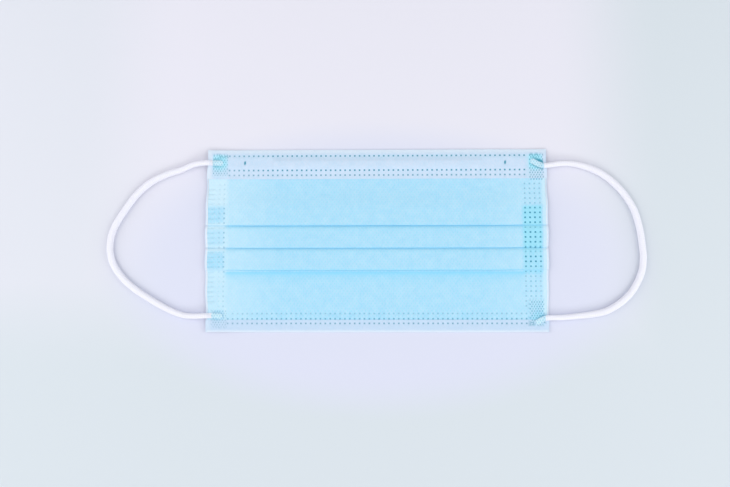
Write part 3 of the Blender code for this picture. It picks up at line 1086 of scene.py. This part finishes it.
def knitted_elastic():
    """White elastic yarn with painted shade in the hollows of the knit, bluer where it is pressed flat."""
    looks = Looks("white knitted elastic")
    around, along = looks.split((looks.add("UVMap", uv_map="cord"), 0))
    wale = looks.maths("PINGPONG", looks.maths("MULTIPLY", around, float(WALES)), 0.5)
    slant = looks.maths("MULTIPLY", wale, 2 * STITCH_SLANT)
    row = looks.maths("MULTIPLY_ADD", along, 1 / STITCH, slant)
    stitch = looks.maths("COSINE", looks.maths("MULTIPLY", row, 2 * math.pi))
    yarn = looks.noise((looks.add("TexCoord"), "Object"), "3D", Scale=5200.0, Detail=3.0)
    relief = looks.maths("MULTIPLY_ADD", stitch, 0.35, yarn)
    # Painted shade: the hollows of the knit are a little darker than its ridges
    shade = looks.ramp(relief, -0.1, 0.9)
    colour = looks.mixed(shade, paint(234, 234, 247), paint(240, 240, 251))
    colour = looks.mixed(looks.note("pressed"), colour, paint(202, 236, 255))
    colour = looks.mixed(looks.note("melted"), colour, paint(92, 182, 222))
    looks.surface(Base_Color=colour, Roughness=0.85, Specular_IOR_Level=0.2)
    looks.surface(Subsurface_Weight=0.45, Subsurface_Radius=(1.0, 1.0, 1.0), Subsurface_Scale=0.0011)
    looks.bump(relief, strength=0.5, distance=0.00008)
    return looks.material


elastic = knitted_elastic()
for cord_name, side, route, upper, lower in (
    ("ear_cord_left", -1, LEFT_ROUTE, "top_left", "bottom_left"),
    ("ear_cord_right", 1, RIGHT_ROUTE, "top_right", "bottom_right"),
):
    cord = ear_loop(cord_name, side, route, upper, lower)
    cord.data.materials.append(elastic)

# Table top.
# A pale, faintly lavender sheet of card under soft light from both sides, seen from straight above with
# the camera leaning a few degrees towards the chin edge.
bm = bmesh.new()
bmesh.ops.create_grid(bm, x_segments=1, y_segments=1, size=1.5)
table_mesh = bpy.data.meshes.new("table_top")
bm.to_mesh(table_mesh)
bm.free()
table_top = bpy.data.objects.new("table_top", table_mesh)
bpy.context.scene.collection.objects.link(table_top)

# The card's tones, where its painted shade comes in on each side and how fully on the left, and half of the
# width and of the depth of the painted bluish shade round the mask
CARD_WARM = paint(229, 228, 238)
CARD_SHADED = paint(213, 221, 227)
CARD_BLUE_SHADE = paint(218, 221, 238)
SHADE_RIGHT = (0.088, 0.150)
SHADE_NEAR = (0.02, -0.07)
SHADE_LEFT = (-0.10, -0.16)
LEFT_SHARE = 0.45
OVAL_WIDE = 0.150
OVAL_DEEP = 0.080
OVAL_NEARER = 0.014


def shaded_lavender_card():
    """Card with painted shade: darker and cooler to the right, the left and the near side, and a painted
    bluish shade round the mask.
    """
    looks = Looks("lavender card")
    across, up = looks.split((looks.add("TexCoord"), "Object"))
    right = looks.ramp(across, *SHADE_RIGHT, soft=True)
    near = looks.ramp(up, *SHADE_NEAR, soft=True)
    left = looks.ramp(across, *SHADE_LEFT, end=LEFT_SHARE, soft=True)
    shaded = looks.maths("MAXIMUM", looks.maths("MAXIMUM", right, near), left)
    wide = looks.maths("POWER", looks.maths("MULTIPLY", across, 1 / OVAL_WIDE), 2.0)
    deep = looks.maths("MULTIPLY_ADD", up, 1 / OVAL_DEEP, OVAL_NEARER / OVAL_DEEP)
    deep = looks.maths("POWER", deep, 2.0)
    blue_shade = looks.ramp(looks.maths("ADD", wide, deep), 1.0, 0.45, soft=True)
    # Painted shade towards the sides and the near edge, then a painted bluish shade round the mask
    colour = looks.mixed(shaded, CARD_WARM, CARD_SHADED)
    colour = looks.mixed(blue_shade, colour, CARD_BLUE_SHADE)
    looks.surface(Base_Color=colour, Roughness=0.9, Specular_IOR_Level=0.1)
    return looks.material


table_mesh.materials.append(shaded_lavender_card())


def soft_box(name, place, width, height, power, colour):
    """A rectangular studio light that faces the mask."""
    data = bpy.data.lights.new(name, "AREA")
    data.shape = "RECTANGLE"
    data.size, data.size_y = width, height
    data.energy = power
    data.color = colour
    light = bpy.data.objects.new(name, data)
    light.location = place
    light.rotation_euler = (Vector() - Vector(place)).to_track_quat("-Z", "Y").to_euler()
    bpy.context.scene.collection.objects.link(light)


soft_box("left_light", (-0.70, 0.05, 0.55), width=0.75, height=0.90, power=3.5, colour=(1.0, 0.99, 1.0))
soft_box("right_light", (0.75, -0.10, 0.50), width=0.75, height=0.80, power=3.3, colour=(0.98, 1.0, 1.0))
soft_box("front_light", (0.0, -1.30, 0.95), width=1.2, height=0.6, power=6.2, colour=(1.0, 1.0, 1.0))

world = bpy.data.worlds.new("studio")
world.use_nodes = True
world_light = world.node_tree.nodes["Background"]
world_light.inputs["Color"].default_value = (0.97, 0.98, 1.0, 1.0)
world_light.inputs["Strength"].default_value = 0.565
bpy.context.scene.world = world
bpy.context.scene.view_settings.view_transform = "Standard"

CAMERA_PLACE = (0.0040, -0.0452, 0.4680)
CAMERA_TURN = (math.radians(5.31), math.radians(1.23), math.radians(-0.01))
CAMERA_LENS = 45
camera_data = bpy.data.cameras.new("camera")
camera_data.lens = CAMERA_LENS
camera = bpy.data.objects.new("camera", camera_data)
camera.location = CAMERA_PLACE
camera.rotation_euler = Euler(CAMERA_TURN)
bpy.context.scene.collection.objects.link(camera)
bpy.context.scene.camera = camera
